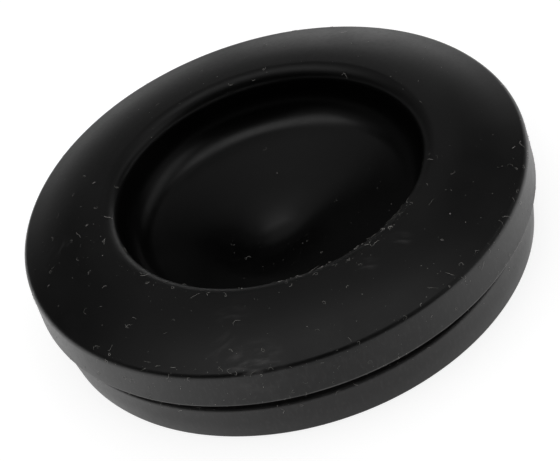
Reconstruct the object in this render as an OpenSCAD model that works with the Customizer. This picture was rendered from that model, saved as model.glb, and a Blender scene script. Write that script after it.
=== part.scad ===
// Blind cable gasket: a one-piece moulded rubber grommet that snaps into a round panel hole.
// A crowned upper flange and a smaller lower flange grip the panel between them. A thin dished
// web closes the middle, and is pierced at its dimple when a cable is led through.
// Origin: centre of the underside, on the surface it rests on. +Z is the gasket's axis.

/* [Upper flange] */
// Outer diameter of the upper flange
rim_d = 36; // [33:0.5:44]
// Height of the upper flange's edge, from the panel to its top corner
rim_h = 2.75; // [1.8:0.05:5]
// Radius that rounds the top corner of the edge
rim_shoulder_r = 0.5; // [0.1:0.05:0.9]
// Radius that breaks the edge's lower corner
rim_hem_r = 0.1; // [0.05:0.05:0.5]
// Rise of the crown, from the top corner of the edge to the mouth of the well
crown_h = 1.8; // [1:0.1:3]
// Height by which the middle of the crown's two slopes stands over a straight cone
crown_lift = 0.5; // [0.1:0.05:1]

/* [Panel groove] */
// Diameter of the groove's floor, which is the diameter of the panel hole
groove_d = 28.5; // [26:0.1:30.5]
// Width of the groove, which is the thickness of the panel
groove_w = 1; // [0.8:0.1:3]
// Radius in the two inner corners of the groove
groove_fillet_r = 0.25; // [0.05:0.05:0.35]

/* [Lower flange] */
// Outer diameter of the lower flange, at its top
foot_d = 34.8; // [32:0.1:40]
// Height of the lower flange
foot_h = 2.95; // [2:0.05:4]
// Taper of the lower flange's edge towards its bottom, in degrees
foot_taper = 10; // [0:1:25]
// Radius that rounds the lower flange's top corner
foot_top_r = 0.2; // [0.1:0.05:0.7]
// Radius that rounds the lower flange's bottom corner
foot_hem_r = 0.3; // [0.1:0.05:0.7]

/* [Well] */
// Diameter of the well in the top, at its mouth
well_d = 21.8; // [19:0.1:23]
// Draft of the wall of the well, in degrees
well_draft = 3; // [0:0.5:5]
// Radius of the lip that rolls from the crown into the well
lip_r = 1; // [0.3:0.1:1.4]
// Radius between the wall of the well and the web
well_fillet_r = 2.2; // [0.4:0.1:2.4]

/* [Web] */
// Height of the web's upper face where it would meet the wall of the well
web_z = 5; // [4.8:0.1:5.6]
// Thickness of the web
web_t = 1; // [0.5:0.1:1.2]
// Slope of the web down towards its middle, in degrees
web_slope = 10.5; // [4:0.5:12]
// Diameter of the dimple in the middle of the web
dimple_d = 6.4; // [5:0.1:8]
// Slope of the dimple's side, in degrees
dimple_slope = 22; // [14:1:26]
// Diameter of the dimple's rounded bottom
dimple_bottom_d = 1.6; // [1:0.1:3]

/* [Underside] */
// Diameter of the hollow in the underside, at its mouth
hollow_d = 22; // [19:0.1:23]
// Draft of the wall of the hollow, in degrees
hollow_draft = 3; // [0:0.5:5]
// Radius that rounds the mouth of the hollow
hollow_hem_r = 0.5; // [0.1:0.1:0.8]
// Radius between the wall of the hollow and the web
hollow_fillet_r = 0.7; // [0.2:0.1:1]

/* [Quality] */
// Largest gap between a rounded corner and the short chords that it is drawn with
arc_gap = 0.02; // [0.002:0.001:0.03]

/* [Hidden] */
$fn = 96;
rubber = [0.07, 0.07, 0.075];

// How far a round of radius r reaches from corner b along its two sides, towards a and c
function corner_turn(a, b, c) =
    180 - acos((a - b) * (c - b) / norm(a - b) / norm(c - b));
function reach(a, b, c, r) = r * tan(corner_turn(a, b, c) / 2);

// The radius that fills the shorter side of corner b, where rounds at a and c take their part
function full_round(a, b, c, taken_a, taken_c) =
    0.95 * min(norm(a - b) - taken_a, norm(c - b) - taken_c) / tan(corner_turn(a, b, c) / 2);

// Heights up the outside
groove_z = foot_h + groove_w;
rim_z = groove_z + rim_h;
mouth_z = rim_z + crown_h;

// Crown: two slopes from the edge up to the well's mouth, with one long round between them
rim_top = [rim_d / 2, rim_z];
mouth = [well_d / 2, mouth_z];
crown_break = (rim_top + mouth) / 2 + [0, crown_lift];
rim_under = [rim_d / 2, groove_z];
well_floor = [well_d / 2 - (mouth_z - web_z) * tan(well_draft), web_z];
crown_r = full_round(mouth, crown_break, rim_top,
    reach(well_floor, mouth, crown_break, lip_r),
    reach(crown_break, rim_top, rim_under, rim_shoulder_r));

// Web: falls from the wall of the well to the dimple, and then to the dimple's round bottom
dimple_r = dimple_d / 2;
bottom_r = dimple_bottom_d / 2;
dimple_z = web_z - (well_floor[0] - dimple_r) * tan(web_slope);
bottom_z = dimple_z - (dimple_r - bottom_r) * tan(dimple_slope);
dimple_edge = [dimple_r, dimple_z];
dimple_foot = [bottom_r, bottom_z];
bottom_round_r = bottom_r / tan(dimple_slope / 2);
dimple_blend_r = full_round(dimple_foot, dimple_edge, well_floor,
    bottom_r, reach(dimple_edge, well_floor, mouth, well_fillet_r));

// Underside of the web, one thickness below its upper face
web_drop = web_t / cos(web_slope);
hollow_rise = web_z - web_drop - well_floor[0] * tan(web_slope);
hollow_top_r = (hollow_d / 2 - hollow_rise * tan(hollow_draft))
    / (1 + tan(web_slope) * tan(hollow_draft));
hollow_top_z = hollow_rise + hollow_top_r * tan(web_slope);
under_blend_r = min(dimple_blend_r, full_round(dimple_foot, dimple_edge,
    dimple_edge + [hollow_top_r - dimple_r, (hollow_top_r - dimple_r) * tan(web_slope)],
    bottom_r, hollow_fillet_r * tan((90 - web_slope + hollow_draft) / 2)));

// The half section, corner by corner from the middle of the web outwards, down and back
// underneath: each is [place, radius of the corner]
section = [
    [[0, bottom_z], 0],
    [dimple_foot, bottom_round_r],
    [dimple_edge, dimple_blend_r],
    [well_floor, well_fillet_r],
    [mouth, lip_r],
    [crown_break, crown_r],
    [rim_top, rim_shoulder_r],
    [rim_under, rim_hem_r],
    [[groove_d / 2, groove_z], groove_fillet_r],
    [[groove_d / 2, foot_h], groove_fillet_r],
    [[foot_d / 2, foot_h], foot_top_r],
    [[foot_d / 2 - foot_h * tan(foot_taper), 0], foot_hem_r],
    [[hollow_d / 2, 0], hollow_hem_r],
    [[hollow_top_r, hollow_top_z], hollow_fillet_r],
    [dimple_edge - [0, web_drop], under_blend_r],
    [dimple_foot - [0, web_drop], bottom_round_r],
    [[0, bottom_z - web_drop], 0]
];

// Points along the round of corner b, between its neighbours a and c
function corner_arc(a, b, c, r) =
    let (
        to_a = (a - b) / norm(a - b),
        to_c = (c - b) / norm(c - b),
        turn = corner_turn(a, b, c),
        side = sign(to_a[0] * to_c[1] - to_a[1] * to_c[0]),
        middle = (to_a + to_c) / norm(to_a + to_c),
        centre = b + middle * r / cos(turn / 2),
        steps = max(2, ceil(turn / acos(1 - arc_gap / r) / 2)),
        start = atan2(-middle[1], -middle[0]) + side * turn / 2
    )
    [for (i = [0:steps])
        let (angle = start - side * turn * i / steps)
        centre + r * [cos(angle), sin(angle)]];

// The section's outline, with every corner rounded to its own radius
function rounded(corners) = [
    for (i = [0:len(corners) - 1])
        each corners[i][1] == 0
            ? [corners[i][0]]
            : corner_arc(corners[i - 1][0], corners[i][0], corners[i + 1][0], corners[i][1])
];

module gasket() {
    color(rubber)
        rotate_extrude()
            polygon(rounded(section));
}

gasket();
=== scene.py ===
import math
import random

import bpy
from mathutils import Matrix, Vector, noise


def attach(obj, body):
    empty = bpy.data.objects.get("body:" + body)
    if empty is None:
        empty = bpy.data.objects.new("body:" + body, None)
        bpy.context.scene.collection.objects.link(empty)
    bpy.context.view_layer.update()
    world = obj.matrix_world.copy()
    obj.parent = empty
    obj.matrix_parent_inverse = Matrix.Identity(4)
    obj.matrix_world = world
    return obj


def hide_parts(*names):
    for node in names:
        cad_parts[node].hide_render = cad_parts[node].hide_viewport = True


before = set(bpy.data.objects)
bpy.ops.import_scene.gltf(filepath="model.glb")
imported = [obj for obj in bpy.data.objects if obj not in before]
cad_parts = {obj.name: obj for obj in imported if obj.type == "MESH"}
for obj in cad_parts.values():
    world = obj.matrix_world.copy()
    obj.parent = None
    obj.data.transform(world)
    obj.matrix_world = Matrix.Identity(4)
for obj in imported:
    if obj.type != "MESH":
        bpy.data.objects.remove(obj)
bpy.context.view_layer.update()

MM = 0.001
NODE = "gasket"
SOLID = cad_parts[NODE]

# ---------------------------------------------------------------- the half section


def seam_points(mesh):
    """The section's points in order, along the solid's seam from the top of its axis outwards."""
    on_seam = {}
    for vertex in mesh.vertices:
        if abs(vertex.co.y) < 1e-7 and vertex.co.x > -1e-7:
            on_seam[vertex.index] = (round(abs(vertex.co.x), 7), round(vertex.co.z, 7))
    beside = {}
    for edge in mesh.edges:
        a, b = (on_seam.get(i) for i in edge.vertices)
        if a and b and a != b:
            beside.setdefault(a, set()).add(b)
            beside.setdefault(b, set()).add(a)
    axis = [p for p in beside if p[0] == 0]
    here = max(axis, key=lambda p: p[1])
    last = min(axis, key=lambda p: p[1])
    path = [here]
    while here != last:
        here = next(p for p in sorted(beside[here]) if p not in path)
        path.append(here)
    return [Vector(p) for p in path]


def turn_at(points, i):
    """The angle by which the section turns at point i, signed."""
    before, after = points[i] - points[i - 1], points[i + 1] - points[i]
    return math.atan2(before.x * after.y - before.y * after.x, before.dot(after))


def corners_only(points, least=math.radians(0.3)):
    """The points without those in the middle of a straight."""
    inner = [p for i, p in enumerate(points[1:-1], 1) if abs(turn_at(points, i)) > least]
    return [points[0]] + inner + [points[-1]]


def directions(points):
    """The direction of the true outline at each point. A round's end turns half as much as the
    next point of the round, and there the outline runs along the straight on its other side."""
    out = [Vector((1, 0))]
    turns = [0] + [turn_at(points, i) for i in range(1, len(points) - 1)] + [0]
    for i in range(1, len(points) - 1):
        before = (points[i] - points[i - 1]).normalized()
        after = (points[i + 1] - points[i]).normalized()
        half_before = abs(turns[i + 1] / turns[i] - 2)
        half_after = abs(turns[i - 1] / turns[i] - 2)
        if min(half_before, half_after) < 0.5:
            out.append(before if half_before < half_after else after)
        else:
            out.append((before + after).normalized())
    return out + [Vector((-1, 0))]


def smooth_section(points, step, most_turn=math.radians(5)):
    """Finer points on smooth curves between the section's points, no further apart than step."""
    way = directions(points)
    out = []
    for i in range(len(points) - 1):
        a, b = points[i], points[i + 1]
        long = (b - a).length
        turn = way[i].angle(way[i + 1])
        count = max(1, math.ceil(long / step), math.ceil(turn / most_turn))
        for k in range(count):
            t = k / count
            out.append(
                a * (2 * t**3 - 3 * t**2 + 1)
                + way[i] * long * (t**3 - 2 * t**2 + t)
                + b * (3 * t**2 - 2 * t**3)
                + way[i + 1] * long * (t**3 - t**2)
            )
    return out + [points[-1]]


SECTION = smooth_section(corners_only(seam_points(SOLID.data)), 0.45 * MM)

# Driving places on the section, all found on it
RIM_R = max(p.x for p in SECTION)
WALL_TOP_Z = max(p.y for p in SECTION if p.x > RIM_R - 1e-6)
LIP_R = max(SECTION, key=lambda p: p.y).x
WALL_END = max(i for i, p in enumerate(SECTION) if p.x > RIM_R - 1e-6)
HEM_Z = SECTION[WALL_END].y
BELOW_GROOVE = [i for i, p in enumerate(SECTION) if i > WALL_END and p.y < HEM_Z - 1 * MM]
FOOT_TOP_Z = SECTION[BELOW_GROOVE[0]].y


def distances_along(points):
    """How far along the section each point lies."""
    out = [0.0]
    for a, b in zip(points, points[1:]):
        out.append(out[-1] + (b - a).length)
    return out


ALONG = distances_along(SECTION)


def on_section(s):
    """The section's point and its outward direction at distance s along it."""
    s = min(max(s, 0.0), ALONG[-1] - 1e-9)
    i = next(k for k in range(len(ALONG) - 1) if ALONG[k + 1] > s)
    t = (s - ALONG[i]) / (ALONG[i + 1] - ALONG[i])
    run = (SECTION[i + 1] - SECTION[i]).normalized()
    return SECTION[i].lerp(SECTION[i + 1], t), Vector((-run.y, run.x))


def along_at_radius(radius):
    """The distance along the section at which its upper side, from the web to the shoulder,
    first reaches this radius."""
    return next(ALONG[i] for i, p in enumerate(SECTION) if p.x >= radius)


def on_surface(s, angle):
    """A point of the turned surface and its outward normal. The sag of the web and the bend of
    the lower flange are not in it, so dust that is placed by it there floats or is sunk."""
    point, out = on_section(s)
    turn = Vector((math.cos(angle), math.sin(angle)))
    return (
        Vector((turn.x * point.x, turn.y * point.x, point.y)),
        Vector((turn.x * out.x, turn.y * out.x, out.y)),
    )


# ---------------------------------------------------------------- the rubber body

AROUND = 288
UNEVEN = 0.012 * MM  # how far the rubber strays from a true turned form
UNEVEN_SPAN = 6 * MM
WELL_R = 10.9 * MM
DIMPLE_ASIDE = Vector((-0.6, -0.7, 0)) * MM  # how far the web's dimple lies off the axis
ASIDE_END = 0.9 * WELL_R  # the distance from the axis at which this has faded out
DIMPLE_LONG = Vector((0.87, 0.49, 0))  # the direction in which the dimple is drawn out
DIMPLE_STRETCH, STRETCH_END = 0.45, 0.6 * WELL_R
DIMPLE_R = 3.2 * MM
DIMPLE_FILL, FILL_END = 0.08 * MM, 1.6 * DIMPLE_R  # its bottom is a little flatter
WEB_LEAN = Vector((-0.058, -0.016, 0))  # the web's slope to the right and the back, down if < 0
LEAN_START, LEAN_END = 0.35 * WELL_R, 0.95 * WELL_R  # where the lean begins to fade, and its end
FOOT_LIFT = 0.4 * MM  # how far the lower flange bends up on the right, where the groove closes
LIFT_ANGLE, LIFT_FULL, LIFT_END = 10, 40, 80  # its middle and how far it reaches, in degrees
FOOT_SPREAD = 0.17 * MM  # how much wider in radius its edge is at the bottom than the solid's
FOOT_LOW = 0.3 * FOOT_TOP_Z  # the height below which its edge is fully spread
FOOT_INNER, FOOT_OUTER = 0.8 * RIM_R, 0.93 * RIM_R  # its bend and spread grow between these radii


def uneven(point):
    """How far the moulded surface stands in or out at a point."""
    return UNEVEN * noise.noise(point / UNEVEN_SPAN)


def eased_off(value, start, end):
    """1 up to start, falling smoothly to 0 at end."""
    t = min(max((value - start) / (end - start), 0.0), 1.0)
    return 1 - t * t * (3 - 2 * t)


def web_sag(here, radius):
    """How far a point of the soft web lies from a true turned form: the web leans a little, and
    its dimple lies aside and is drawn out."""
    aside = DIMPLE_ASIDE * eased_off(radius, 0, ASIDE_END)
    drawn = DIMPLE_LONG * here.dot(DIMPLE_LONG) * DIMPLE_STRETCH * eased_off(radius, 0, STRETCH_END)
    fill = DIMPLE_FILL * eased_off(radius, 0, FILL_END)
    lean = here.dot(WEB_LEAN) * eased_off(radius, LEAN_START, LEAN_END)
    return aside + drawn + Vector((0, 0, lean + fill))


def foot_bend(p, angle):
    """How far the lower flange departs from the solid's: its edge is wider at the bottom, so less
    tapered, and its top is bent up towards the upper flange on the gasket's right."""
    off_right = abs((math.degrees(angle) - LIFT_ANGLE + 180) % 360 - 180)
    on_top = 1 - eased_off(p.y, FOOT_LOW, FOOT_TOP_Z)
    outwards = 1 - eased_off(p.x, FOOT_INNER, FOOT_OUTER)
    out = FOOT_SPREAD * (1 - on_top) * outwards
    up = FOOT_LIFT * eased_off(off_right, LIFT_FULL, LIFT_END) * on_top * outwards
    return Vector((out * math.cos(angle), out * math.sin(angle), up))


def turned_mesh(name):
    """The section turned about the axis, with one vertex at each pole."""
    slopes = [on_section((a + b) / 2)[1] for a, b in zip(ALONG, ALONG[1:])]
    vertices, faces = [], []
    for i, p in enumerate(SECTION):
        count = 1 if i in (0, len(SECTION) - 1) else AROUND
        out = (slopes[max(i - 1, 0)] + slopes[min(i, len(slopes) - 1)]).normalized()
        for k in range(count):
            a = 2 * math.pi * k / AROUND
            here = Vector((p.x * math.cos(a), p.x * math.sin(a), p.y))
            normal = Vector((out.x * math.cos(a), out.x * math.sin(a), out.y))
            if p.y > 1e-6:
                here += normal * uneven(here) + web_sag(here, p.x)
            if i in BELOW_GROOVE:
                here += foot_bend(p, a)
            vertices.append(here)
    rings = len(SECTION) - 2
    for k in range(AROUND):
        k2 = (k + 1) % AROUND
        faces.append((0, 1 + k, 1 + k2))
        for i in range(rings - 1):
            a, b = 1 + i * AROUND, 1 + (i + 1) * AROUND
            faces.append((a + k, b + k, b + k2, a + k2))
        end = 1 + (rings - 1) * AROUND
        faces.append((end + k, len(vertices) - 1, end + k2))
    mesh = bpy.data.meshes.new(name)
    mesh.from_pydata(vertices, [], faces)
    mesh.shade_smooth()
    return mesh


def add_piece(name, mesh, material):
    """A mesh as a piece that rides on the gasket's body."""
    mesh.materials.append(material)
    piece = bpy.data.objects.new(name, mesh)
    bpy.context.scene.collection.objects.link(piece)
    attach(piece, "root")
    return piece


# ---------------------------------------------------------------- materials


def new_node(tree, kind, settings=None, **inputs):
    """A node with its settings and unlinked inputs set, or linked where a socket is given."""
    node = tree.nodes.new("ShaderNode" + kind)
    for key, value in (settings or {}).items():
        setattr(node, key, value)
    for key, value in inputs.items():
        socket = node.inputs[int(key[1:])] if key[1:].isdigit() else node.inputs[key.replace("_", " ")]
        if isinstance(value, bpy.types.NodeSocket):
            tree.links.new(value, socket)
        else:
            socket.default_value = value
    return node


def maths(tree, operation, a, b=0.0, clamp=False):
    """A Math node's output."""
    return new_node(tree, "Math", {"operation": operation, "use_clamp": clamp}, i0=a, i1=b).outputs[0]


def added(tree, total, mask, share):
    """A total with a share of a mask added to it."""
    return maths(tree, "ADD", total, maths(tree, "MULTIPLY", mask, share))


def graded(tree, value, low, high, to_low=0.0, to_high=1.0):
    """The value carried smoothly from one range to another, and held at its ends."""
    settings = {"interpolation_type": "SMOOTHSTEP"}
    node = new_node(tree, "MapRange", settings, i0=value, i1=low, i2=high, i3=to_low, i4=to_high)
    return node.outputs[0]


def soft_band(tree, value, low, high, edge):
    """1 between low and high, falling smoothly to 0 over an edge's width on both sides."""
    rise = graded(tree, value, maths(tree, "SUBTRACT", low, edge), low)
    fall = graded(tree, value, high, maths(tree, "ADD", high, edge), 1.0, 0.0)
    return maths(tree, "MULTIPLY", rise, fall)


def start_group(name, inputs, outputs):
    """An empty shader node group with float or vector inputs and float outputs."""
    tree = bpy.data.node_groups.new(name, "ShaderNodeTree")
    for key, default in inputs.items():
        kind = "NodeSocketVector" if isinstance(default, tuple) else "NodeSocketFloat"
        tree.interface.new_socket(key, in_out="INPUT", socket_type=kind).default_value = default
    for key in outputs:
        tree.interface.new_socket(key, in_out="OUTPUT", socket_type="NodeSocketFloat")
    source = tree.nodes.new("NodeGroupInput")
    sink = tree.nodes.new("NodeGroupOutput")
    return tree, source.outputs, sink.inputs


def use_group(tree, group, **inputs):
    """A group in a material, with its inputs set or linked; returns its outputs."""
    node = tree.nodes.new("ShaderNodeGroup")
    node.node_tree = group
    for key, value in inputs.items():
        socket = node.inputs[key.replace("_", " ")]
        if isinstance(value, bpy.types.NodeSocket):
            tree.links.new(value, socket)
        else:
            socket.default_value = value
    return node.outputs


def grain_group():
    """The moulded surface's fine grain: tiny pits of the mould's finish over soft ripples."""
    tree, given, made = start_group(
        "Moulded grain", {"Place": (0, 0, 0), "Fine size": 0.1 * MM, "Ripple size": 1.2 * MM}, ["Height"]
    )
    fine = new_node(
        tree, "TexNoise", Vector=given["Place"],
        Scale=maths(tree, "DIVIDE", 1, given["Fine size"]), Detail=3.0, Roughness=0.6,
    )
    ripple = new_node(
        tree, "TexNoise", Vector=given["Place"],
        Scale=maths(tree, "DIVIDE", 1, given["Ripple size"]), Detail=1.0,
    )
    both = maths(tree, "ADD", maths(tree, "MULTIPLY", fine.outputs[0], 0.25), ripple.outputs[0])
    tree.links.new(both, made["Height"])
    return tree


def speck_group():
    """Dust specks: round grains of mixed size, on some cells of a scattered pattern."""
    tree, given, made = start_group(
        "Dust specks", {"Place": (0, 0, 0), "Spacing": 1 * MM, "Share": 0.3, "Size": 0.1}, ["Mask"]
    )
    cells = new_node(
        tree, "TexVoronoi", {"feature": "F1"}, Vector=given["Place"],
        Scale=maths(tree, "DIVIDE", 1, given["Spacing"]), Randomness=1.0,
    )
    shade = new_node(tree, "SeparateColor", i0=cells.outputs["Color"])
    taken = maths(tree, "LESS_THAN", shade.outputs[0], given["Share"])
    radius = maths(tree, "MULTIPLY", shade.outputs[1], given["Size"])
    depth = maths(tree, "DIVIDE", cells.outputs["Distance"], radius)
    round_spot = graded(tree, depth, 0.6, 1.1, 1.0, 0.0)
    tree.links.new(maths(tree, "MULTIPLY", taken, round_spot), made["Mask"])
    return tree


def film_group():
    """The thin film of dust and handling: cloudy patches of greyer, duller rubber, flecked."""
    tree, given, made = start_group(
        "Dust film", {"Place": (0, 0, 0), "Patch size": 5 * MM, "Fleck size": 0.3 * MM}, ["Mask"]
    )
    scale = maths(tree, "DIVIDE", 1, given["Patch size"])
    cloud = new_node(tree, "TexNoise", Vector=given["Place"], Scale=scale, Detail=5.0, Roughness=0.6)
    fine = maths(tree, "DIVIDE", 1, given["Fleck size"])
    flecks = new_node(tree, "TexNoise", Vector=given["Place"], Scale=fine, Detail=2.0, Roughness=0.5)
    patches = maths(tree, "MULTIPLY", graded(tree, cloud.outputs[0], 0.35, 0.75), 0.6)
    spots = maths(tree, "MULTIPLY", graded(tree, flecks.outputs[0], 0.35, 0.75), 0.4)
    tree.links.new(maths(tree, "ADD", patches, spots), made["Mask"])
    return tree


def scuff_group():
    """One pale spot of short parallel strokes that thin out from its middle: a rubbed spot, and on the near
    shoulder a painted highlight.
    """
    tree, given, made = start_group(
        "Scuff",
        {"Place": (0, 0, 0), "Centre": (0, 0, 0), "Reach": 2 * MM, "Turn": 0.0},
        ["Mask"],
    )
    from_centre = new_node(
        tree, "VectorMath", {"operation": "SUBTRACT"}, i0=given["Place"], i1=given["Centre"]
    ).outputs[0]
    away = new_node(tree, "VectorMath", {"operation": "LENGTH"}, i0=from_centre).outputs["Value"]
    near = graded(tree, maths(tree, "DIVIDE", away, given["Reach"]), 0.2, 1.0, 1.0, 0.0)
    turned = new_node(
        tree, "VectorRotate", {"rotation_type": "Z_AXIS"}, Vector=from_centre, Angle=given["Turn"]
    ).outputs[0]
    drawn_out = new_node(
        tree, "VectorMath", {"operation": "MULTIPLY"}, i0=turned, i1=(0.35, 1.3, 0.5)
    ).outputs[0]
    strokes = new_node(tree, "TexNoise", Vector=drawn_out, Scale=1 / (0.5 * MM), Detail=4.0)
    marks = graded(tree, strokes.outputs[0], 0.42, 0.8)
    tree.links.new(maths(tree, "MULTIPLY", marks, near), made["Mask"])
    return tree


GRAIN, SPECKS, FILM, SCUFF = grain_group(), speck_group(), film_group(), scuff_group()
RUBBER_BLACK = (0.0006, 0.0006, 0.0006, 1)
# the grey of the dust, and also the colour of the painted highlights along the hem and on the near shoulder
DUST_AND_HIGHLIGHT_GREY = (0.37, 0.355, 0.355, 1)
CROWN_FILM = 0.003  # the share of dust grey in the thin film on the crown
WALL_FILM = 4.0  # how many times more of it lies on the walls
CROWN_ROUGHNESS, WELL_ROUGHNESS = 0.38, 0.28
LIP_FILM, LIP_DULLING = 1.0, 0.14  # a rubbed band round the lip: more film, and rougher
FILM_DULLING, DUST_DULLING = 0.10, 0.3
FOOT_FILM = 0.022  # how much more film lies on the lower flange
WALL_STREAKS, HEM_HIGHLIGHT = 0.03, 0.16  # pale streaks on the walls, and a painted highlight along the hem
STREAK_SIZE, STREAK_SQUEEZE = 0.22 * MM, (1, 1, 0.35)
LINT_DARK = (0.10, 0.10, 0.09, 1)
LINT_PALE = (0.45, 0.44, 0.42, 1)
# Rubbed spots on the crown: distance from the axis, place around it, reach, direction of the
# strokes and how pale they are. The palest, on the near shoulder, is a painted highlight.
SCUFFS_AND_SHOULDER_HIGHLIGHT = (
    (15.9 * MM, 246, 1.6 * MM, 20, 0.035),
    (13.4 * MM, 248, 1.7 * MM, -22, 0.035),
    # a painted highlight above the dark band of the near shoulder, drawn as a rubbed spot
    (17.4 * MM, 254, 2.6 * MM, -16, 0.12),
    (13.2 * MM, 302, 1.1 * MM, -20, 0.06),
    (12.9 * MM, 289, 1.1 * MM, -10, 0.05),
    (15.1 * MM, 178, 1.4 * MM, 60, 0.03),
)


def blank_material(name):
    """A material with a place to start from: its tree, shader and object coordinates."""
    material = bpy.data.materials.new(name)
    material.use_nodes = True
    tree = material.node_tree
    place = new_node(tree, "TexCoord").outputs["Object"]
    return material, tree, tree.nodes["Principled BSDF"], place


def rubber_material():
    """Black satin rubber with moulded grain. A thin grey film of dust lies on the crown and the
    outside, thicker in cloudy patches and on the walls, and leaves the well nearly clean. Rubbed
    spots on the crown are paler and duller. The palest of them, on the near shoulder, is a
    painted highlight, and so is a pale line along the hem."""
    material, tree, shader, place = blank_material("black_rubber")
    x, y, z = new_node(tree, "SeparateXYZ", i0=place).outputs
    flat = new_node(tree, "CombineXYZ", i0=x, i1=y).outputs[0]
    radius = new_node(tree, "VectorMath", {"operation": "LENGTH"}, i0=flat).outputs["Value"]
    outside = graded(tree, radius, LIP_R - 0.6 * MM, LIP_R + 0.3 * MM)
    below_shoulder = graded(tree, z, WALL_TOP_Z - 0.1 * MM, WALL_TOP_Z + 0.4 * MM, 1.0, 0.0)
    on_wall = maths(tree, "MULTIPLY", below_shoulder, outside)

    lip_in = graded(tree, radius, LIP_R - 1.0 * MM, LIP_R - 0.5 * MM)
    lip_out = graded(tree, radius, LIP_R + 0.3 * MM, LIP_R + 2.5 * MM, 1.0, 0.0)
    lip_band = maths(tree, "MULTIPLY", lip_in, lip_out)

    film = use_group(tree, FILM, Place=place)["Mask"]
    fine = use_group(tree, SPECKS, Place=place, Spacing=0.55 * MM, Share=0.16, Size=0.09)["Mask"]
    coarse = use_group(tree, SPECKS, Place=place, Spacing=1.7 * MM, Share=0.30, Size=0.040)["Mask"]
    dust = maths(tree, "MAXIMUM", maths(tree, "MULTIPLY", fine, 0.35), coarse)
    # rubbed spots, and a painted highlight on the near shoulder
    rubbed_and_highlight = 0.0
    for radius_at, angle, reach, turn, strength in SCUFFS_AND_SHOULDER_HIGHLIGHT:
        centre = on_surface(along_at_radius(radius_at), math.radians(angle))[0]
        mask = use_group(tree, SCUFF, Place=place, Centre=centre, Reach=reach, Turn=math.radians(-turn))
        rubbed_and_highlight = added(tree, rubbed_and_highlight, mask["Mask"], strength)

    thick = added(tree, added(tree, outside, on_wall, WALL_FILM), lip_band, LIP_FILM)
    cloudy = maths(tree, "MULTIPLY", graded(tree, film, 0.0, 1.0, 0.6, 1.6), thick)
    grey = maths(tree, "ADD", maths(tree, "MULTIPLY", cloudy, CROWN_FILM), rubbed_and_highlight)
    upright = new_node(
        tree, "VectorMath", {"operation": "MULTIPLY"}, i0=place, i1=STREAK_SQUEEZE
    ).outputs[0]
    streaks = new_node(
        tree, "TexNoise", Vector=upright, Scale=1 / STREAK_SIZE, Detail=3.0, Roughness=0.6
    )
    streaked = maths(tree, "MULTIPLY", graded(tree, streaks.outputs[0], 0.45, 0.8), on_wall)
    # a painted highlight: a thin pale line along the hem at the upper flange's lower edge, patchy with the
    # film
    at_hem = soft_band(tree, z, HEM_Z - 0.03 * MM, HEM_Z + 0.04 * MM, 0.03 * MM)
    at_edge = graded(tree, radius, RIM_R - 0.3 * MM, RIM_R - 0.2 * MM)
    painted_hem_highlight = maths(tree, "MULTIPLY", at_hem, at_edge)
    painted_hem_highlight = maths(tree, "MULTIPLY", painted_hem_highlight, graded(tree, film, 0.0, 0.8, 0.35, 1.0))
    grey = added(tree, added(tree, grey, streaked, WALL_STREAKS), painted_hem_highlight, HEM_HIGHLIGHT)
    under_hem = graded(tree, z, HEM_Z - 0.4 * MM, FOOT_TOP_Z - 0.3 * MM)
    grey = added(tree, grey, maths(tree, "MULTIPLY", under_hem, on_wall), FOOT_FILM)
    cover = maths(tree, "MAXIMUM", maths(tree, "MULTIPLY", dust, 0.45), grey)
    colour = new_node(
        tree, "Mix", {"data_type": "RGBA"}, i0=cover, i6=RUBBER_BLACK, i7=DUST_AND_HIGHLIGHT_GREY
    ).outputs[2]
    tree.links.new(colour, shader.inputs["Base Color"])

    dulled = added(tree, maths(tree, "MULTIPLY", film, FILM_DULLING), dust, DUST_DULLING)
    dulled = added(tree, dulled, lip_band, LIP_DULLING)
    satin = maths(tree, "ADD", graded(tree, outside, 0.0, 1.0, WELL_ROUGHNESS, CROWN_ROUGHNESS), dulled)
    tree.links.new(satin, shader.inputs["Roughness"])
    grain = use_group(tree, GRAIN, Place=place)["Height"]
    bump = new_node(tree, "Bump", Strength=0.12, Distance=0.02 * MM, Height=grain)
    tree.links.new(bump.outputs[0], shader.inputs["Normal"])
    shader.inputs["IOR"].default_value = 1.5
    return material


def fibre_material():
    """Pale lint and crumbs of dust, lighter and darker from one place to the next."""
    material, tree, shader, place = blank_material("pale_lint")
    patches = new_node(tree, "TexNoise", Vector=place, Scale=1 / (0.8 * MM), Detail=2.0)
    tone = graded(tree, patches.outputs[0], 0.3, 0.7)
    colour = new_node(
        tree, "Mix", {"data_type": "RGBA"}, i0=tone, i6=LINT_DARK, i7=LINT_PALE
    ).outputs[2]
    tree.links.new(colour, shader.inputs["Base Color"])
    fuzz = new_node(tree, "TexNoise", Vector=place, Scale=1 / (0.03 * MM), Detail=2.0)
    bump = new_node(tree, "Bump", Strength=0.4, Distance=0.01 * MM, Height=fuzz.outputs[0])
    tree.links.new(bump.outputs[0], shader.inputs["Normal"])
    shader.inputs["Roughness"].default_value = 0.9
    return material


# ---------------------------------------------------------------- lint and crumbs

FIBRE_R = 0.007 * MM
FIBRE_STEP = 0.055 * MM
CRUMB_R = (0.010 * MM, 0.036 * MM)
WALL_START = ALONG[next(i for i, p in enumerate(SECTION) if p.x > RIM_R - 1e-6)]
FOOT_TOP = ALONG[max(BELOW_GROOVE, key=lambda i: SECTION[i].x)]
HEM = ALONG[WALL_END]
AT_LIP = along_at_radius(LIP_R)
STRETCH = {  # parts of the section on which dust settles, as distances along it
    "web": (0.5 * MM, along_at_radius(9.5 * MM)),
    "lip": (AT_LIP - 1.1 * MM, AT_LIP + 0.3 * MM),
    "crown": (AT_LIP, WALL_START - 1.0 * MM),
    "shoulder": (WALL_START - 0.9 * MM, WALL_START),
    "wall": (WALL_START, HEM),
    "hem": (HEM - 0.1 * MM, HEM + 0.2 * MM),
    "foot edge": (FOOT_TOP - 0.5 * MM, FOOT_TOP + 0.2 * MM),
    "foot": (FOOT_TOP, FOOT_TOP + 2.6 * MM),
}
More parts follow.
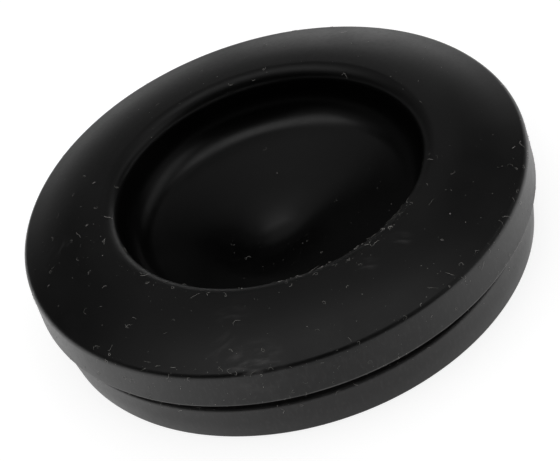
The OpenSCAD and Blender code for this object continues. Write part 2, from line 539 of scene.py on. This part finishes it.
# Stretch, degrees around the axis from and to, fibres and crumbs. The near side has the most.
DUSTED = (
    ("web", 150, 300, 12, 80),
    ("web", -60, 150, 6, 50),
    ("lip", 190, 340, 30, 40),
    ("lip", 262, 318, 34, 60),
    ("lip", -20, 190, 8, 16),
    ("crown", 150, 250, 30, 90),
    ("crown", 250, 330, 10, 80),
    ("crown", -30, 150, 10, 120),
    ("shoulder", 215, 350, 40, 120),
    ("shoulder", -10, 215, 12, 30),
    ("wall", 0, 360, 44, 420),
    ("hem", 200, 350, 24, 40),
    ("hem", -10, 200, 10, 20),
    ("foot edge", 0, 360, 44, 200),
    ("foot", 0, 360, 36, 420),
)


def fibre_path(rng, s, angle):
    """A short curled fibre that lies on the surface, its middle or one end a little raised."""
    heading, curl = rng.uniform(0, 2 * math.pi), rng.gauss(0, 0.35)
    count = rng.randint(5, 13)
    lift, phase = rng.uniform(0, 0.10 * MM), rng.choice((0.5, 1.0))
    path = []
    for k in range(count + 1):
        point, normal = on_surface(s, angle)
        path.append(point + normal * (FIBRE_R + lift * math.sin(math.pi * phase * k / count)))
        s += FIBRE_STEP * math.cos(heading)
        angle += FIBRE_STEP * math.sin(heading) / max(on_section(s)[0].x, 1 * MM)
        heading += curl + rng.gauss(0, 0.3)
    return path


def add_tube(vertices, faces, path, radius):
    """A three-sided tube along a path, thinner at its ends."""
    start, side = len(vertices), Vector((0.3, 0.5, 0.8)).normalized()
    for k, point in enumerate(path):
        run = (path[min(k + 1, len(path) - 1)] - path[max(k - 1, 0)]).normalized()
        side = (side - run * side.dot(run)).normalized()
        across = run.cross(side)
        thick = radius * (0.5 if k in (0, len(path) - 1) else 1.0)
        for turn in (0, 2 * math.pi / 3, 4 * math.pi / 3):
            vertices.append(point + (side * math.cos(turn) + across * math.sin(turn)) * thick)
    for k in range(len(path) - 1):
        a, b = start + 3 * k, start + 3 * k + 3
        faces.extend((a + i, a + (i + 1) % 3, b + (i + 1) % 3, b + i) for i in range(3))
    faces.extend([(start, start + 2, start + 1), tuple(range(len(vertices) - 3, len(vertices)))])


def add_crumb(vertices, faces, rng, s, angle):
    """An uneven grain with eight faces, half its size above the turned surface."""
    point, normal = on_surface(s, angle)
    size = CRUMB_R[0] + (CRUMB_R[1] - CRUMB_R[0]) * rng.random() ** 3
    middle, start = point + normal * size * 0.5, len(vertices)
    for axis in (Vector((1, 0, 0)), Vector((0, 1, 0)), Vector((0, 0, 1))):
        for sign in (1, -1):
            skew = Vector((rng.uniform(-0.3, 0.3), rng.uniform(-0.3, 0.3), rng.uniform(-0.3, 0.3)))
            vertices.append(middle + (axis * sign * rng.uniform(0.6, 1.2) + skew) * size)
    for x in (0, 1):
        for y in (2, 3):
            for z in (4, 5):
                corner = (x, y, z) if (x + y + z) % 2 == 0 else (x, z, y)
                faces.append(tuple(start + i for i in corner))


def add_dust(material):
    """Fibres of lint and crumbs of dust on every stretch that is dusted."""
    rng = random.Random(41)
    lint, crumbs = ([], []), ([], [])
    for stretch, start, end, fibres, grains in DUSTED:
        low, high = STRETCH[stretch]
        for _ in range(fibres):
            path = fibre_path(rng, rng.uniform(low, high), math.radians(rng.uniform(start, end)))
            add_tube(*lint, path, FIBRE_R * rng.uniform(0.7, 1.3))
        for _ in range(grains):
            add_crumb(*crumbs, rng, rng.uniform(low, high), math.radians(rng.uniform(start, end)))
    for name, (vertices, faces) in (("lint_fibres", lint), ("dust_crumbs", crumbs)):
        mesh = bpy.data.meshes.new(name)
        mesh.from_pydata(vertices, [], faces)
        add_piece(name, mesh, material)


# ---------------------------------------------------------------- the stage


FLOOR_PAINTED_SHADE, FLOOR_SIDES = 0.55, 1.42  # the paper's paleness in the rubber's gloss: pale at the sides, with a painted shade in the middle
FLOOR_GLOW, FLOOR_SHADED, PAPER = 0.80, 0.35, 0.8  # seen: glow and shaded part; unseen: all of it
FLOOR_HALF = 1.0


def floor_material():
    """White paper that keeps a soft shadow. In the rubber's gloss it glows pale at the sides, and
    has a painted shade in front of the gasket and behind it."""
    material = bpy.data.materials.new("white_paper")
    material.use_nodes = True
    tree = material.node_tree
    tree.nodes.clear()
    path = new_node(tree, "LightPath").outputs
    x = new_node(tree, "SeparateXYZ", i0=new_node(tree, "TexCoord").outputs["Object"]).outputs[0]
    pale = graded(tree, maths(tree, "ABSOLUTE", x), 0.0, 2 * RIM_R, FLOOR_PAINTED_SHADE, FLOOR_SIDES)
    paper = new_node(tree, "BsdfDiffuse", Color=(PAPER, PAPER, PAPER, 1)).outputs[0]
    glow = new_node(tree, "Emission", Color=(1, 1, 1, 1), Strength=FLOOR_GLOW).outputs[0]
    dim = (FLOOR_SHADED, FLOOR_SHADED, FLOOR_SHADED, 1)
    shaded = new_node(tree, "BsdfDiffuse", Color=dim).outputs[0]
    lit = new_node(tree, "AddShader", i0=glow, i1=shaded).outputs[0]
    # in the rubber's gloss the paper glows, with a painted shade in front of the gasket and behind it
    mirrored = new_node(tree, "Emission", Color=(1, 1, 1, 1), Strength=pale).outputs[0]
    seen = new_node(tree, "MixShader", i0=path["Is Camera Ray"], i1=paper, i2=lit).outputs[0]
    both = new_node(tree, "MixShader", i0=path["Is Glossy Ray"], i1=seen, i2=mirrored).outputs[0]
    end = new_node(tree, "OutputMaterial")
    tree.links.new(both, end.inputs[0])
    return material


def add_floor():
    """A wide pale floor under the gasket."""
    half = FLOOR_HALF
    mesh = bpy.data.meshes.new("floor")
    corners = [(-half, -half, 0), (half, -half, 0), (half, half, 0), (-half, half, 0)]
    mesh.from_pydata(corners, [], [(0, 1, 2, 3)])
    mesh.materials.append(floor_material())
    floor = bpy.data.objects.new("floor", mesh)
    bpy.context.scene.collection.objects.link(floor)


PLAIN_LEVEL = 0.8  # of the light that the object scatters


def ceiling_panel_group():
    """A soft-edged rectangle of light on a level ceiling over the gasket, given by its sides'
    distances to the right and to the back, with the ceiling's height as 1."""
    tree, given, made = start_group(
        "Ceiling panel",
        {"Way": (0, 0, 0), "Left": -1.0, "Right": 1.0, "Front": -1.0, "Back": 1.0, "Edge": 0.1},
        ["Mask"],
    )
    x, y, z = new_node(tree, "SeparateXYZ", i0=given["Way"]).outputs
    height = maths(tree, "MAXIMUM", z, 0.02)
    across = soft_band(tree, maths(tree, "DIVIDE", x, height), given["Left"], given["Right"], given["Edge"])
    along = soft_band(tree, maths(tree, "DIVIDE", y, height), given["Front"], given["Back"], given["Edge"])
    tree.links.new(maths(tree, "MULTIPLY", across, along), made["Mask"])
    return tree


def window_group():
    """A soft-edged window of light beside the gasket: the compass direction that it lies in, from
    the back towards the right, half its width and its heights over the horizon, all in degrees."""
    tree, given, made = start_group(
        "Window",
        {"Way": (0, 0, 0), "Facing": 0.0, "Half width": 30.0, "Side edge": 10.0,
         "Bottom": 0.0, "Top": 10.0, "Edge": 5.0},
        ["Mask"],
    )
    x, y, z = new_node(tree, "SeparateXYZ", i0=given["Way"]).outputs
    compass = maths(tree, "DEGREES", maths(tree, "ARCTAN2", x, y))
    aside = maths(tree, "SUBTRACT", compass, given["Facing"])
    turned = new_node(tree, "Math", {"operation": "WRAP"}, i0=aside, i1=180.0, i2=-180.0).outputs[0]
    wide = maths(tree, "ADD", given["Half width"], given["Side edge"])
    across = graded(tree, maths(tree, "ABSOLUTE", turned), given["Half width"], wide, 1.0, 0.0)
    height = maths(tree, "DEGREES", maths(tree, "ARCSINE", z))
    upright = soft_band(tree, height, given["Bottom"], given["Top"], given["Edge"])
    tree.links.new(maths(tree, "MULTIPLY", across, upright), made["Mask"])
    return tree


def light_room():
    """Three soft panels on the ceiling, five soft windows of different brightness and a pale
    horizon, in a room that is dark in between. Each is a level and a mask. Light that is
    scattered by the object gets the room's plain level."""
    world = bpy.data.worlds.new("light_room")
    bpy.context.scene.world = world
    world.use_nodes = True
    tree = world.node_tree
    tree.nodes.clear()
    way = new_node(tree, "TexCoord").outputs["Generated"]
    panel, window = ceiling_panel_group(), window_group()
    lights = [
        (0.92, use_group(tree, panel, Way=way, Left=-0.7, Right=0.45, Front=-0.15, Back=0.24, Edge=0.06)),
        (0.42, use_group(tree, panel, Way=way, Left=0.95, Right=1.5, Front=-0.65, Back=0.6, Edge=0.25)),
        (0.20, use_group(tree, panel, Way=way, Left=-0.45, Right=0.25, Front=0.5, Back=0.9, Edge=0.2)),
        (1.10, use_group(tree, window, Way=way, Facing=27.0, Half_width=14.0, Side_edge=15.0,
                         Bottom=0.0, Top=10.0, Edge=5.0)),
        (1.90, use_group(tree, window, Way=way, Facing=140.0, Half_width=50.0, Side_edge=18.0,
                         Bottom=-2.0, Top=1.0, Edge=3.5)),
        (0.13, use_group(tree, window, Way=way, Facing=110.0, Half_width=15.0, Side_edge=19.0,
                         Bottom=15.0, Top=52.0, Edge=15.0)),
        (0.05, use_group(tree, window, Way=way, Facing=-48.0, Half_width=45.0, Side_edge=40.0,
                         Bottom=0.0, Top=23.0, Edge=13.5)),
        (0.10, use_group(tree, window, Way=way, Facing=-95.0, Half_width=25.0, Side_edge=20.0,
                         Bottom=40.0, Top=60.0, Edge=12.0)),
        (0.18, use_group(tree, window, Way=way, Half_width=180.0, Top=5.5, Edge=8.5)),
    ]
    room = 0.0
    for level, mask in lights:
        room = maths(tree, "ADD", room, maths(tree, "MULTIPLY", mask[0], level))
    path = new_node(tree, "LightPath").outputs
    bounced = maths(tree, "MULTIPLY", path["Is Diffuse Ray"], PLAIN_LEVEL)
    strength = maths(tree, "MAXIMUM", maths(tree, "MAXIMUM", room, bounced), path["Is Camera Ray"])
    light = new_node(tree, "Background", Color=(1, 1, 1, 1), Strength=strength).outputs[0]
    tree.links.new(light, new_node(tree, "OutputWorld").inputs[0])


# The picture's frame and the camera's place, from the ellipses that the gasket's circles make
FRAME_W, FRAME_H = 560, 461
FOCAL_PX = 3000
RIM_PX = 260.2  # the rim's radius in the picture
AXIS_PX = (273.4, 194.8)  # where the axis passes the top of the rim's wall
ELEVATION = math.radians(39.3)
ROLL = math.radians(19.3)


def add_camera():
    """A long lens that looks down on the gasket, turned a little about its own axis."""
    distance = FOCAL_PX * RIM_R / RIM_PX
    right = Vector((1, 0, 0))
    up = Vector((0, math.sin(ELEVATION), math.cos(ELEVATION)))
    back = Vector((0, -math.cos(ELEVATION), math.sin(ELEVATION)))
    cam_right = right * math.cos(ROLL) - up * math.sin(ROLL)
    cam_up = right * math.sin(ROLL) + up * math.cos(ROLL)
    aside = (AXIS_PX[0] - FRAME_W / 2) / FOCAL_PX * distance
    above = (FRAME_H / 2 - AXIS_PX[1]) / FOCAL_PX * distance
    place = Vector((0, 0, WALL_TOP_Z)) + back * distance - cam_right * aside - cam_up * above
    data = bpy.data.cameras.new("camera")
    data.sensor_width = 36
    data.lens = FOCAL_PX / FRAME_W * data.sensor_width
    data.clip_start = 0.001
    camera = bpy.data.objects.new("camera", data)
    bpy.context.scene.collection.objects.link(camera)
    turn = Matrix((cam_right, cam_up, back)).transposed().to_4x4()
    turn.translation = place
    camera.matrix_world = turn
    bpy.context.scene.camera = camera


# ---------------------------------------------------------------- put together

body = add_piece("rubber_body", turned_mesh("rubber_body"), rubber_material())
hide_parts(NODE)
add_dust(fibre_material())
add_floor()
light_room()
add_camera()
bpy.context.scene.view_settings.view_transform = "Standard"
